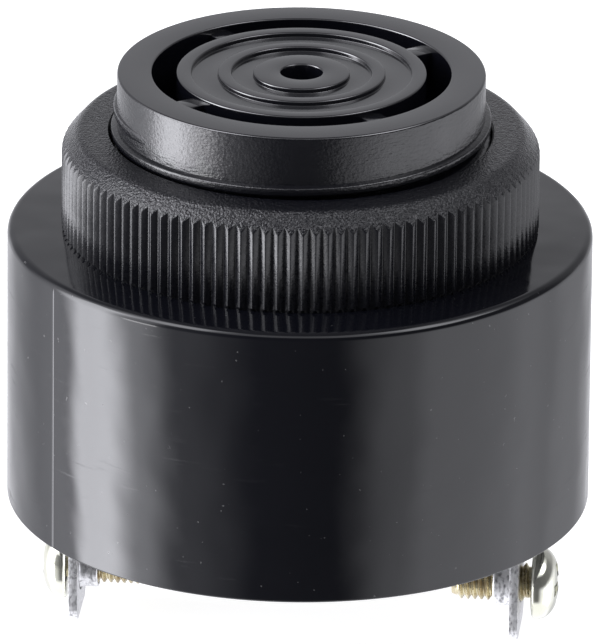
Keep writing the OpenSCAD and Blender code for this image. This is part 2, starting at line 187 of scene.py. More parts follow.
def bar(size, middle, angle, rounding=0):
    # a block that points away from the axis
    bm = bmesh.new()
    bmesh.ops.create_cube(bm, size=1)
    bmesh.ops.scale(bm, vec=size, verts=bm.verts)
    if rounding:
        roundEdges(bm, rounding)
    bmesh.ops.translate(bm, vec=middle, verts=bm.verts)
    return place(bm, Matrix.Rotation(angle, 4, "Z"))


def anglesRound(start, count):
    return [math.radians(start) + i * fullTurn / count for i in range(count)]


def makePiece(name, bm, body, materials, replaces, sharpAngle=35):
    place(bm, Matrix.Scale(mm, 4))
    mesh = bpy.data.meshes.new(name)
    bm.to_mesh(mesh)
    bm.free()
    for polygon in mesh.polygons:
        polygon.use_smooth = True
    mesh.set_sharp_from_angle(angle=math.radians(sharpAngle))
    for material in materials:
        mesh.materials.append(material)
    piece = bpy.data.objects.new(name, mesh)
    scene.collection.objects.link(piece)
    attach(piece, body)
    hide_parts(replaces)
    print("made", name, len(mesh.polygons), "faces")


# material helpers

noiseMiddle = (0.35, 0.65)  # most values of a noise lie between these
unstretched = (1, 1, 1)


def startMaterial(name):
    material = bpy.data.materials.new(name)
    material.use_nodes = True
    tree = material.node_tree
    return material, tree, tree.nodes["Principled BSDF"]


def objectPoint(tree):
    return tree.nodes.new("ShaderNodeTexCoord").outputs["Object"]


def noise(tree, point, scale, detail=4, stretch=unstretched):
    # scale is in cells to a metre
    node = tree.nodes.new("ShaderNodeTexNoise")
    node.inputs["Scale"].default_value = scale
    node.inputs["Detail"].default_value = detail
    if stretch != unstretched:
        mapping = tree.nodes.new("ShaderNodeMapping")
        mapping.inputs["Scale"].default_value = stretch
        tree.links.new(point, mapping.inputs["Vector"])
        point = mapping.outputs["Vector"]
    tree.links.new(point, node.inputs["Vector"])
    return node.outputs["Fac"]


def ramp(tree, value, low, high, fromLow, fromHigh, smooth=False):
    # a number that goes from low to high as value goes from fromLow to fromHigh
    node = tree.nodes.new("ShaderNodeMapRange")
    node.interpolation_type = "SMOOTHSTEP" if smooth else "LINEAR"
    node.inputs["From Min"].default_value = fromLow
    node.inputs["From Max"].default_value = fromHigh
    node.inputs["To Min"].default_value = low
    node.inputs["To Max"].default_value = high
    tree.links.new(value, node.inputs["Value"])
    return node.outputs["Result"]


def math2(tree, operation, a, b=None):
    node = tree.nodes.new("ShaderNodeMath")
    node.operation = operation
    for socket, value in zip(node.inputs, (a, b)):
        if value is None:
            continue
        if isinstance(value, (int, float)):
            socket.default_value = value
        else:
            tree.links.new(value, socket)
    return node.outputs["Value"]


def blendColor(tree, share, first, second):
    node = tree.nodes.new("ShaderNodeMix")
    node.data_type = "RGBA"
    tree.links.new(share, node.inputs["Factor"])
    for socket, color in ((node.inputs["A"], first), (node.inputs["B"], second)):
        if isinstance(color, tuple):
            socket.default_value = (*color, 1)
        else:
            tree.links.new(color, socket)
    return node.outputs["Result"]


def bump(tree, bsdf, height, strength, depth, before=None):
    # depth is in millimetres, before is a relief to add to
    node = tree.nodes.new("ShaderNodeBump")
    node.inputs["Strength"].default_value = strength
    node.inputs["Distance"].default_value = depth * mm
    tree.links.new(height, node.inputs["Height"])
    if before is not None:
        tree.links.new(before, node.inputs["Normal"])
    tree.links.new(node.outputs["Normal"], bsdf.inputs["Normal"])
    return node.outputs["Normal"]


def split(tree, point):
    node = tree.nodes.new("ShaderNodeSeparateXYZ")
    tree.links.new(point, node.inputs["Vector"])
    return node.outputs["X"], node.outputs["Y"], node.outputs["Z"]


# black plastics

# one moulding with three finishes: glossy body, smooth grille and satin side of the neck
housingFinishes = {
    "body": {"rough": (0.08, 0.12), "shine": 0.5, "ior": 1.5, "grain": 0,
             "swell": 0.7, "swellScale": 95},
    "grille": {"rough": (0.11, 0.15), "shine": 1.0, "ior": 1.58, "grain": 0,
               "swell": 0.2, "swellScale": 60},
    "neck": {"rough": (0.19, 0.25), "shine": 0.68, "ior": 1.5, "grain": 0.5,
             "swell": 0.2, "swellScale": 60},
}
housingColor = {"color": (0.0024, 0.0026, 0.0044), "paler": (0.0034, 0.0036, 0.0056),
                "cloudScale": 260, "roughScale": 1400, "swellDepth": 0.4}
# fine grain, and streaks that run round the neck
neckGrain = {"scale": 4600, "depth": 0.04, "streakScale": 1000,
             "streakStretch": (1.5, 1.5, 5), "streakDepth": 0.06}
# moulding seam down the side of the body, gone at the rounded rim
seamSpec = {"angle": 218.8, "width": 0.4, "strength": 0.8, "depth": 0.03,
            "fadeFrom": -0.8, "fadeTo": -0.4}
# handling marks: a few thin scratches and specks of dust
markSpec = {"scratchScale": 420, "scratchStretch": (0.5, 0.5, 6), "scratchFrom": (0.66, 0.7),
            "scratchRough": 0.12, "scratchStrength": 0.25, "scratchDepth": 0.01,
            "speckScale": 2600, "speckFrom": (0.77, 0.8), "speckCover": 0.6,
            "dust": (0.12, 0.12, 0.12)}


def housingPlastic(zone):
    finish, c, n, s = housingFinishes[zone], housingColor, neckGrain, seamSpec
    material, tree, bsdf = startMaterial("housing_black_" + zone)
    point = objectPoint(tree)
    color = blendColor(tree, noise(tree, point, c["cloudScale"]), c["color"], c["paler"])
    rough = ramp(tree, noise(tree, point, c["roughScale"]), *finish["rough"], *noiseMiddle)
    bsdf.inputs["Specular IOR Level"].default_value = finish["shine"]
    bsdf.inputs["IOR"].default_value = finish["ior"]
    swell = noise(tree, point, finish["swellScale"], 2)
    relief = bump(tree, bsdf, swell, finish["swell"], c["swellDepth"])
    if finish["grain"]:
        grain = noise(tree, point, n["scale"], 2)
        relief = bump(tree, bsdf, grain, finish["grain"], n["depth"], relief)
        streaks = noise(tree, point, n["streakScale"], 3, n["streakStretch"])
        bump(tree, bsdf, streaks, finish["grain"], n["streakDepth"], relief)
    if zone == "body":
        relief = bump(tree, bsdf, seamLine(tree, point), s["strength"], s["depth"], relief)
        color, rough = handlingMarks(tree, bsdf, point, color, rough, relief)
    tree.links.new(color, bsdf.inputs["Base Color"])
    tree.links.new(rough, bsdf.inputs["Roughness"])
    return material


def seamLine(tree, point):
    s = seamSpec
    x, y, z = split(tree, point)
    angle = math2(tree, "ARCTAN2", math2(tree, "MULTIPLY", y, -1), math2(tree, "MULTIPLY", x, -1))
    seamAt = math.radians(s["angle"] - 180)
    offset = math2(tree, "ABSOLUTE", math2(tree, "SUBTRACT", angle, seamAt))
    line = ramp(tree, offset, 1, 0, 0, math.radians(s["width"]), smooth=True)
    below = ramp(tree, z, 1, 0, s["fadeFrom"] * mm, s["fadeTo"] * mm)
    return math2(tree, "MULTIPLY", line, below)


def handlingMarks(tree, bsdf, point, color, rough, relief):
    m = markSpec
    scratches = noise(tree, point, m["scratchScale"], 3, m["scratchStretch"])
    scratch = ramp(tree, scratches, 0, 1, *m["scratchFrom"])
    speck = ramp(tree, noise(tree, point, m["speckScale"], 1), 0, 1, *m["speckFrom"])
    bump(tree, bsdf, scratch, m["scratchStrength"], m["scratchDepth"], relief)
    color = blendColor(tree, math2(tree, "MULTIPLY", speck, m["speckCover"]), color, m["dust"])
    worn = math2(tree, "MULTIPLY", scratch, m["scratchRough"])
    return color, math2(tree, "ADD", rough, worn)


# the nut's top is eroded to a grain, its knurl is smoother
nutFinishes = {
    "knurl": {"rough": (0.24, 0.32), "shine": 0.55, "spark": 0, "fine": 0.4},
    "top": {"rough": (0.12, 0.18), "shine": 0.5, "spark": 0.85, "fine": 0.4},
}
nutColor = {"color": (0.0026, 0.0028, 0.0048), "paler": (0.0044, 0.0046, 0.0068), "ior": 1.5,
            "cloudScale": 1400, "roughScale": 3000, "fineScale": 6000, "fineDepth": 0.03,
            "sparkScale": 5500, "sparkDepth": 0.145}


def nutPlastic(zone):
    finish, c = nutFinishes[zone], nutColor
    material, tree, bsdf = startMaterial("nut_black_" + zone)
    point = objectPoint(tree)
    color = blendColor(tree, noise(tree, point, c["cloudScale"]), c["color"], c["paler"])
    rough = ramp(tree, noise(tree, point, c["roughScale"]), *finish["rough"], *noiseMiddle)
    tree.links.new(color, bsdf.inputs["Base Color"])
    tree.links.new(rough, bsdf.inputs["Roughness"])
    bsdf.inputs["Specular IOR Level"].default_value = finish["shine"]
    bsdf.inputs["IOR"].default_value = c["ior"]
    fine = noise(tree, point, c["fineScale"], 2)
    relief = bump(tree, bsdf, fine, finish["fine"], c["fineDepth"])
    if finish["spark"]:
        spark = noise(tree, point, c["sparkScale"], 2)
        bump(tree, bsdf, spark, finish["spark"], c["sparkDepth"], relief)
    return material


# finishes of two close colours clouded together, with matching roughness and a fine relief
plainRelief = {"finer": 3, "detail": 3, "depth": 0.02}


def plainFinish(name, first, second, scale, rough, metallic=0.0, relief=0.2, stretch=unstretched):
    material, tree, bsdf = startMaterial(name)
    point = objectPoint(tree)
    cloud = noise(tree, point, scale, stretch=stretch)
    color = blendColor(tree, ramp(tree, cloud, 0, 1, *noiseMiddle), first, second)
    tree.links.new(color, bsdf.inputs["Base Color"])
    tree.links.new(ramp(tree, cloud, *rough, *noiseMiddle), bsdf.inputs["Roughness"])
    bsdf.inputs["Metallic"].default_value = metallic
    fine = noise(tree, point, scale * plainRelief["finer"], plainRelief["detail"], stretch)
    bump(tree, bsdf, fine, relief, plainRelief["depth"])
    return material


tinFinish = {"bright": (0.88, 0.88, 0.89), "dull": (0.72, 0.72, 0.73), "cloudScale": 900,
             "rough": (0.25, 0.42), "metallic": 0.75,
             "stain": (0.2, 0.2, 0.21), "stainScale": 3800, "stainStretch": (1, 1, 0.5),
             "stainFrom": (0.48, 0.68), "flatStain": 0.3, "edgeFrom": (0.3, 0.9),
             "reliefScale": 2600, "relief": 0.6, "reliefDepth": 0.05}


def tinPlate():
    t = tinFinish
    material, tree, bsdf = startMaterial("tin_plate")
    point = objectPoint(tree)
    cloud = noise(tree, point, t["cloudScale"], 5)
    stains = noise(tree, point, t["stainScale"], 6, t["stainStretch"])
    # the sheared edges are darker than the flats
    facing = split(tree, tree.nodes.new("ShaderNodeTexCoord").outputs["Normal"])[1]
    sheared = ramp(tree, math2(tree, "ABSOLUTE", facing), t["flatStain"], 1, *t["edgeFrom"])
    stain = math2(tree, "MULTIPLY", ramp(tree, stains, 0, 1, *t["stainFrom"]), sheared)
    bright = blendColor(tree, cloud, t["bright"], t["dull"])
    tree.links.new(blendColor(tree, stain, bright, t["stain"]), bsdf.inputs["Base Color"])
    tree.links.new(ramp(tree, cloud, *t["rough"], *noiseMiddle), bsdf.inputs["Roughness"])
    bsdf.inputs["Metallic"].default_value = t["metallic"]
    bump(tree, bsdf, noise(tree, point, t["reliefScale"], 3), t["relief"], t["reliefDepth"])
    return material


housingBlacks = [housingPlastic(zone) for zone in housingFinishes]
nutBlacks = [nutPlastic(zone) for zone in nutFinishes]
tin = tinPlate()
zincHead = plainFinish("zinc_head", (0.86, 0.86, 0.77), (0.78, 0.78, 0.66), 500, (0.07, 0.13),
                       metallic=0.9, relief=0.15)
zincThread = plainFinish("zinc_thread", (0.76, 0.7, 0.5), (0.42, 0.34, 0.2), 1400, (0.2, 0.34),
                         metallic=0.75, relief=0.15)
print("finishes of the outside ready")

# housing: cup, threaded neck and grille in one moulding

housingLow, housingHigh = nodeBox("housing")
coverLow, coverHigh = nodeBox("rear_cover")
plateHigh = nodeBox("piezo_plate")[1]
boardHigh = nodeBox("circuit_board")[1]
neckTop = housingHigh.z
neckSpec = {"landR": 13.55, "crestR": 14.0, "boreR": 11.0, "edge": 0.18, "rootRound": 0.15,
            "boreRound": 0.12, "threadTop": 9.547, "threadFoot": 0.5, "threadSunk": 0.1,
            "pitch": 1.5, "runOutAngle": 232, "fade": 0.2, "threadSteps": 120,
            # height over the crest's upper edge, and share of the ridge there:
            # broad crest, undercut below
            "ridge": [(0.2, 0), (0.1, 0.8), (0.04, 0.95), (-0.04, 1),
                      (-0.4, 1), (-0.46, 0.95), (-0.5, 0.85), (-0.8, 0)]}
# the seat is the ring inside that the sounding disc lies on
bodySpec = {"r": housingHigh.x, "rear": housingLow.z, "front": 2.0, "wall": 1.9, "step": 0.5,
            "rimRound": 0.6, "baseRound": 0.2, "lipRound": 0.1, "seatInset": 0.25, "seatW": 1.5,
            "seatRound": 0.1, "steps": 288}
cavityR = bodySpec["r"] - bodySpec["wall"]
grilleSpec = {"r": 9.2, "thick": 2.0, "groove": 0.37, "foot": 0.05, "outerRing": 1.1,
              "innerR": 6.15, "innerRing": 1.0, "bossR": 3.55, "holeR": 1.55, "edge": 0.12,
              "spokes": 4, "spokeW": 1.7, "spokeDrop": 0.45, "spokeAngle": 39,
              "spokeSunk": 0.4, "spokeEdge": 0.1, "steps": 192}
# ribs inside that the circuit board stops at
ribSpec = {"count": 4, "angle": 45, "reach": 1.2, "w": 1.6, "sunk": 0.4, "topSunk": 0.2}
zoneSpec = {"bodyTop": 0.1, "sideSlack": 0.05, "rimSlack": 0.02}


def housingShell():
    b, n = bodySpec, neckSpec
    seatOut = plateHigh.x - b["seatInset"]
    seatIn = seatOut - b["seatW"]
    return turned([
        (cavityR + b["step"], b["rear"], b["lipRound"]),
        (b["r"], b["rear"], b["baseRound"]),
        (b["r"], 0, b["rimRound"]),
        (n["landR"], 0, n["rootRound"]),
        (n["landR"], neckTop, n["edge"]),
        (n["boreR"], neckTop, n["boreRound"]),
        (n["boreR"], -b["front"], 0),
        (seatIn, -b["front"], 0),
        (seatIn, plateHigh.z, b["seatRound"]),
        (seatOut, plateHigh.z, b["seatRound"]),
        (seatOut, -b["front"], 0),
        (cavityR, -b["front"], 0),
        (cavityR, coverHigh.z, 0),
        (cavityR + b["step"], coverHigh.z, 0),
    ], b["steps"])


def neckThread():
    n = neckSpec
    hidden = n["landR"] - n["threadSunk"]
    high = n["crestR"] - n["landR"]
    section = [(n["landR"] + high * share, dz) for dz, share in n["ridge"]]
    section = [(hidden, section[0][1])] + section + [(hidden, section[-1][1])]
    turns = (n["threadTop"] - n["threadFoot"]) / n["pitch"]
    return helix(section, hidden, n["pitch"], turns, n["threadTop"],
                 math.radians(n["runOutAngle"]), n["fade"], n["threadSteps"])


def grilleDisc():
    g = grilleSpec
    floor = neckTop - g["groove"]
    edge = g["edge"]
    return turned([
        (g["holeR"], neckTop - g["thick"], 0),
        (g["r"], neckTop - g["thick"], 0),
        (g["r"], neckTop, edge),
        (g["r"] - g["outerRing"], neckTop, edge),
        (g["r"] - g["outerRing"], floor, g["foot"]),
        (g["innerR"], floor, g["foot"]),
        (g["innerR"], neckTop, edge),
        (g["innerR"] - g["innerRing"], neckTop, edge),
        (g["innerR"] - g["innerRing"], floor, g["foot"]),
        (g["bossR"], floor, g["foot"]),
        (g["bossR"], neckTop, edge),
        (g["holeR"], neckTop, edge),
    ], g["steps"], segments=3)


def spoke(angle):
    g = grilleSpec
    inner = g["r"] - g["outerRing"] / 2
    outer = neckSpec["boreR"] + g["spokeSunk"]
    high = g["thick"] - g["spokeDrop"]
    middle = ((outer + inner) / 2, 0, neckTop - g["thick"] + high / 2)
    return bar((outer - inner, g["spokeW"], high), middle, angle, g["spokeEdge"])


def boardRib(angle):
    s = ribSpec
    top = -bodySpec["front"] + s["topSunk"]
    middle = (cavityR - s["reach"] / 2 + s["sunk"] / 2, 0, (top + boardHigh.z) / 2)
    return bar((s["reach"] + s["sunk"], s["w"], top - boardHigh.z), middle, angle)


def zoneOf(face):
    # place of a face's finish in housingFinishes
    middle = face.calc_center_median()
    if middle.z < zoneSpec["bodyTop"]:
        return 0
    offAxis = middle.to_2d().length
    onSide = (offAxis > neckSpec["landR"] - zoneSpec["sideSlack"]
              and middle.z < neckTop - zoneSpec["rimSlack"])
    return 2 if onSide else 1


def makeHousing():
    shapes = [housingShell(), neckThread(), grilleDisc()]
    shapes += [spoke(a) for a in anglesRound(grilleSpec["spokeAngle"], grilleSpec["spokes"])]
    shapes += [boardRib(a) for a in anglesRound(ribSpec["angle"], ribSpec["count"])]
    bm = joined(shapes)
    for face in bm.faces:
        face.material_index = zoneOf(face)
    makePiece("housing_moulding", bm, "body", housingBlacks, "housing")


makeHousing()

# ring nut: one tooth made as a row of sections, then copied round

nutHigh = nodeBox("ring_nut")[1]
nutSpec = {"r": 17.6, "h": nutHigh.z, "teeth": 120, "depth": 0.335, "bevelW": 1.2, "bevelH": 1.35,
           "base": 0.25, "boreR": 14.1, "sink": 0.12, "topEdge": 0.3,
           # the crest's upper end is eased; the last three keep its points apart in the groove
           "crestEase": 0.2, "easeIn": 0.25, "easeDown": 0.1,
           "apartDown": 0.02, "apartIn": 0.01, "apartUp": 0.014,
           # share of half a tooth's pitch, and share of the groove's depth there: crest first
           "form": [(0, 0), (0.05, 0.012), (0.1, 0.043), (0.2, 0.132),
                    (0.45, 0.39), (0.7, 0.673), (0.95, 0.994), (1, 1)]}
# gap is where the nut's ridge runs between two turns of the neck's, as a share of the pitch
nutThreadSpec = {"innerR": 13.62, "sunk": 0.15, "halfFoot": 0.42, "halfCrest": 0.06, "gap": 0.7,
                 "fromTop": 1.1, "fromFoot": 0.9, "fade": 0.15}
nutZoneSpec = {"boreWall": 0.2, "topFacing": 0.25}


def nutSection(bm, angle, sunk):
    s = nutSpec
    r = s["r"] - s["depth"] * sunk
    bevelFoot = s["h"] - s["bevelH"]
    grooveTop = bevelFoot + (s["r"] - r) * s["bevelH"] / s["bevelW"]
    flatR = s["r"] - s["bevelW"]
    ease = s["crestEase"] * (1 - sunk)
    slope = ease * s["bevelW"] / s["bevelH"]
    outline = [
        (s["boreR"] + s["sink"], 0),
        (min(r, s["r"] - s["base"]), 0),
        (r, s["base"]),
        (r, (s["base"] + bevelFoot) / 2),
        (r, grooveTop - ease - s["apartDown"]),
        (r - slope * s["easeIn"], grooveTop - ease * s["easeDown"]),
        (r - slope - s["apartIn"], grooveTop + ease + s["apartUp"]),
        ((r + flatR) / 2, (grooveTop + s["h"]) / 2),
        (flatR, s["h"]),
        (s["boreR"] + s["sink"], s["h"]),
        (s["boreR"], s["h"] - s["sink"]),
        (s["boreR"], s["sink"]),
    ]
    return wire(bm, [(x * math.cos(angle), x * math.sin(angle), z) for x, z in outline])[1]


def nutBlank():
    s = nutSpec
    bm = bmesh.new()
    halfPitch = fullTurn / s["teeth"] / 2
    columns = [(-u, f) for u, f in reversed(s["form"])] + s["form"][1:]
    rings = [nutSection(bm, u * halfPitch, f) for u, f in columns]
    for a, b in zip(rings, rings[1:]):
        bmesh.ops.bridge_loops(bm, edges=a + b)
    copies = s["teeth"] - 1
    bmesh.ops.spin(bm, geom=bm.verts[:] + bm.edges[:] + bm.faces[:], cent=(0, 0, 0), axis=upAxis,
                   dvec=(0, 0, 0), angle=fullTurn * copies / s["teeth"], steps=copies,
                   use_duplicate=True)
    tidy(bm)
    bevel(bm, [e for e in bm.edges if all(map(onFlatRim, e.verts))], s["topEdge"], 3, "EDGES")
    return bm


def onFlatRim(vert, near=0.01):
    # where the nut's flat top meets its bevel
    flatR = nutSpec["r"] - nutSpec["bevelW"]
    return abs(vert.co.z - nutSpec["h"]) < near and abs(vert.co.to_2d().length - flatR) < near


def nutThread():
    s, t, n = nutSpec, nutThreadSpec, neckSpec
    hidden = s["boreR"] + t["sunk"]
    section = ridgeSection(hidden, s["boreR"], t["innerR"], t["halfFoot"], t["halfCrest"])
    # in the gap under the neck's ridge, so the two threads mesh at rest
    drop = math.ceil((n["threadTop"] - s["h"] + t["fromTop"]) / n["pitch"] - t["gap"]) + t["gap"]
    topZ = n["threadTop"] - drop * n["pitch"]
    turns = (topZ - t["fromFoot"]) / n["pitch"]
    return helix(section, hidden, n["pitch"], turns, topZ, math.radians(n["runOutAngle"]),
                 t["fade"])


def nutZoneOf(face):
    # place of a face's finish in nutFinishes
    offAxis = face.calc_center_median().to_2d().length
    inBore = offAxis < nutSpec["boreR"] + nutZoneSpec["boreWall"]
    return 0 if inBore or face.normal.z < nutZoneSpec["topFacing"] else 1


def makeNut():
    bm = joined([nutBlank(), nutThread()])
    bm.normal_update()
    for face in bm.faces:
        face.material_index = nutZoneOf(face)
    makePiece("knurled_ring_nut", bm, "nut", nutBlacks, "ring_nut", 28)


makeNut()

# terminals: tinned blades with a drawn collar

terminalLow, terminalHigh = nodeBox("terminal_right")
screwLow, screwHigh = nodeBox("screw_right")
screwZ = (screwLow.z + screwHigh.z) / 2
bladeSpec = {"t": 0.65, "w": terminalHigh.y - terminalLow.y, "tang": 2.6, "chamfer": 0.8,
             "cornerRound": 0.35, "edge": 0.07, "edgeAngle": 60, "holeR": 1.55, "holeSteps": 48}
collarSpec = {"r": 1.8, "l": 1.35, "fillet": 0.25, "sunk": 0.1, "boreRound": 0.12,
              "endRound": 0.15, "rootRound": 0.12}
bladeInner = terminalHigh.x - bladeSpec["t"]  # the face that the collar stands on


def bladePlate():
    s = bladeSpec
    top, shoulder, tip = terminalHigh.z, coverLow.z, terminalLow.z
    half = [(s["tang"] / 2, top), (s["tang"] / 2, shoulder), (s["w"] / 2, shoulder),
            (s["w"] / 2, tip + s["chamfer"]), (s["w"] / 2 - s["chamfer"], tip)]
    outline = half + [(-y, z) for y, z in reversed(half)]
    bm = bmesh.new()
    ring = wire(bm, [(0, y, z) for y, z in outline])[0]
    corners = [v for v in ring if v.co.z < shoulder]
    bevel(bm, corners, s["cornerRound"], 3, "VERTICES")
    bmesh.ops.create_circle(bm, cap_ends=False, radius=s["holeR"], segments=s["holeSteps"],
                            matrix=Matrix.Translation((0, 0, screwZ)) @ turnToX)
    bmesh.ops.triangle_fill(bm, use_beauty=True, edges=bm.edges[:])
    pushOut(bm, bm.faces[:], (s["t"], 0, 0))
    tidy(bm)
    roundEdges(bm, s["edge"], s["edgeAngle"])
    return place(bm, Matrix.Translation((bladeInner, 0, 0)))


def collar():
    c, holeR = collarSpec, bladeSpec["holeR"]
    bm = turned([
        (holeR, -c["l"], c["boreRound"]),
        (c["r"], -c["l"], c["endRound"]),
        (c["r"], 0, c["rootRound"]),
        (c["r"] + c["fillet"], 0, 0),
        (c["r"] + c["fillet"], c["sunk"], 0),
        (holeR, c["sunk"], 0),
    ], bladeSpec["holeSteps"], segments=3)
    return place(bm, Matrix.Translation((bladeInner, 0, screwZ)) @ turnToX)


def makeTerminal(side):
    bm = joined([bladePlate(), collar()])
    if side == "left":
        bmesh.ops.scale(bm, vec=(-1, 1, 1), verts=bm.verts)
        bmesh.ops.reverse_faces(bm, faces=bm.faces)
    makePiece("tinned_terminal_" + side, bm, "body", [tin], "terminal_" + side, 30)


for side in sides:
    makeTerminal(side)

# terminal screws: pan head with a cross recess, and a rolled thread

screwSpec = {"r": 1.45, "rootR": 1.17, "pitch": 0.5, "l": 6.0, "point": 0.3, "pointIn": 0.1,
             "coreSunk": 0.2, "coreSteps": 48,
             # thread
             "threadSunk": 0.08, "halfFoot": 0.21, "halfCrest": 0.04, "threadTop": -0.25,
             "threadShort": 0.5, "fade": 0.3, "threadSteps": 40,
             # head, its crown and its recess
             "headR": 2.75, "headH": 1.95, "side": 0.8, "seatRound": 0.32, "sideRound": 0.45,
             "crownShare": 0.72, "crownDrop": 0.22, "crownRound": 0.7, "headSteps": 64,
             "recessL": 2.9, "recessW": 0.8, "recessD": 1.1, "recessFlare": 1.25}


def screwHead():
    s = screwSpec
    bm = turned([
        (0, 0, 0),
        (s["headR"], 0, s["seatRound"]),
        (s["headR"], s["side"], s["sideRound"]),
        (s["headR"] * s["crownShare"], s["headH"] - s["crownDrop"], s["crownRound"]),
        (0, s["headH"], 0),
    ], s["headSteps"], segments=6)
    return cutAway(bm, crossTool())


def crossTool():
    # the arms narrow to the bottom of the recess
    s = screwSpec
    a, w = s["recessL"] / 2, s["recessW"] / 2
    quarter = [(a, -w), (a, w), (w, w)]
    outline = [Vector(p) for p in quarter] + [Vector((-y, x)) for x, y in quarter]
    outline += [-p for p in outline]
    bm = bmesh.new()
    floor = s["headH"] - s["recessD"]
    foot = bm.faces.new([bm.verts.new((p.x, p.y, floor)) for p in outline])
    rim = pushOut(bm, [foot], (0, 0, 2 * s["recessD"]))
    bmesh.ops.scale(bm, vec=(s["recessFlare"], s["recessFlare"], 1), verts=rim)
    tidy(bm)
    return bm


def screwShank():
    s = screwSpec
    core = turned([
        (0, s["coreSunk"], 0),
        (0, -s["l"], 0),
        (s["rootR"] - s["pointIn"], -s["l"], 0),
        (s["rootR"], -s["l"] + s["point"], 0),
        (s["rootR"], s["coreSunk"], 0),
    ], s["coreSteps"])
    hidden = s["rootR"] - s["threadSunk"]
    section = ridgeSection(hidden, s["rootR"], s["r"], s["halfFoot"], s["halfCrest"])
    turns = (s["l"] - s["threadShort"]) / s["pitch"]
    thread = helix(section, hidden, s["pitch"], turns, s["threadTop"], 0, s["fade"],
                   s["threadSteps"])
    return joined([core, thread])


def makeScrew(side, body):
    low, high = nodeBox("screw_" + side)
    bearing = min(abs(low.x), abs(high.x)) + screwSpec["l"]
    shapes = [screwHead(), screwShank()]
    for finish, shape in enumerate(shapes):
        for face in shape.faces:
            face.material_index = finish
    bm = place(joined(shapes), Matrix.Translation((bearing, 0, screwZ)) @ turnToX)
    if side == "left":
        place(bm, Matrix.Rotation(math.pi, 4, "Z"))
    makePiece("terminal_screw_" + side, bm, body, [zincHead, zincThread],
              "screw_" + side, 30)


for side in sides:
    makeScrew(side, side + "_screw")

# finishes of the pieces kept as the frame has them

keptFinishes = {
    "rear_cover": {"name": "cover_plastic", "first": (0.012, 0.012, 0.0125),
                   "second": (0.018, 0.018, 0.0185), "scale": 1800, "rough": (0.42, 0.55)},
    "piezo_plate": {"name": "rolled_brass", "first": (0.8, 0.58, 0.24),
                    "second": (0.7, 0.48, 0.18), "scale": 700, "rough": (0.2, 0.34),
                    "metallic": 1.0, "relief": 0.15, "stretch": (0.1, 4, 1)},
    "piezo_ceramic": {"name": "fired_ceramic", "first": (0.74, 0.7, 0.58),
                      "second": (0.66, 0.61, 0.5), "scale": 2400, "rough": (0.5, 0.65)},
    "main_electrode": {"name": "printed_silver", "first": (0.82, 0.82, 0.83),
                       "second": (0.72, 0.72, 0.72), "scale": 3000, "rough": (0.35, 0.5),
                       "metallic": 1.0},
    "mounting_bead": {"name": "silicone", "first": (0.78, 0.78, 0.74),
                      "second": (0.7, 0.7, 0.66), "scale": 600, "rough": (0.3, 0.45)},
    "element_solder": {"name": "solder", "first": (0.72, 0.73, 0.75),
                       "second": (0.58, 0.59, 0.61), "scale": 1200, "rough": (0.18, 0.35),
                       "metallic": 1.0},
    "plate_lead": {"name": "black_sleeve", "first": (0.02, 0.02, 0.02),
                   "second": (0.035, 0.035, 0.035), "scale": 1500, "rough": (0.4, 0.5)},
    "main_lead": {"name": "red_sleeve", "first": (0.5, 0.04, 0.025),
                  "second": (0.4, 0.03, 0.02), "scale": 1500, "rough": (0.4, 0.5)},
    "feedback_lead": {"name": "blue_sleeve", "first": (0.04, 0.1, 0.38),
                      "second": (0.03, 0.08, 0.3), "scale": 1500, "rough": (0.4, 0.5)},
    "circuit_board": {"name": "paper_laminate", "first": (0.42, 0.25, 0.09),
                      "second": (0.33, 0.19, 0.07), "scale": 900, "rough": (0.45, 0.6),
                      "relief": 0.15, "stretch": (1, 0.2, 1)},
    "drum_core": {"name": "ferrite", "first": (0.05, 0.05, 0.055),
                  "second": (0.09, 0.09, 0.095), "scale": 2500, "rough": (0.45, 0.6)},
    "coil_winding": {"name": "enamelled_wire", "first": (0.62, 0.25, 0.08),
                     "second": (0.42, 0.14, 0.04), "scale": 900, "rough": (0.2, 0.35),
                     "metallic": 1.0, "relief": 0.6, "stretch": (0.05, 0.05, 5)},
    "drive_transistor": {"name": "moulded_epoxy", "first": (0.016, 0.016, 0.016),
                         "second": (0.026, 0.026, 0.026), "scale": 2600, "rough": (0.45, 0.6)},
    "base_resistor": {"name": "resistor_lacquer", "first": (0.6, 0.44, 0.24),
                      "second": (0.5, 0.35, 0.18), "scale": 1500, "rough": (0.25, 0.35)},
    "supply_capacitor": {"name": "capacitor_sleeve", "first": (0.03, 0.05, 0.14),
                         "second": (0.02, 0.035, 0.1), "scale": 1200, "rough": (0.22, 0.32)},
}
sameFinish = {"feedback_electrode": "main_electrode", "board_solder": "element_solder",
              "terminal_solder": "element_solder", "bias_resistor": "base_resistor",
              "polarity_diode": "drive_transistor"}


def paintKept():
    finishes = {node: plainFinish(**row) for node, row in keptFinishes.items()}
    finishes.update({node: finishes[like] for node, like in sameFinish.items()})
    for node, finish in finishes.items():
        mesh = nodes[node].data
        mesh.materials.clear()
        mesh.materials.append(finish)
    print("painted", len(finishes), "kept nodes")


paintKept()

# camera, solved from the rims and screws in the photograph

cameraSpec = {"focalPixels": 13316, "imageHigh": 644, "sensor": 36, "clip": (0.05, 20),
              "distance": 984.5, "elevation": 21.945, "azimuth": 5.2, "roll": 0.552,
              "axisPoint": -6.05, "aimRight": 0.058, "aimDown": 1.556}


def outwardTo(azimuth, elevation):
    # degrees, counted from the front of the part, right is positive
    az, el = math.radians(azimuth), math.radians(elevation)
    return Vector((math.sin(az) * math.cos(el), -math.cos(az) * math.cos(el), math.sin(el)))


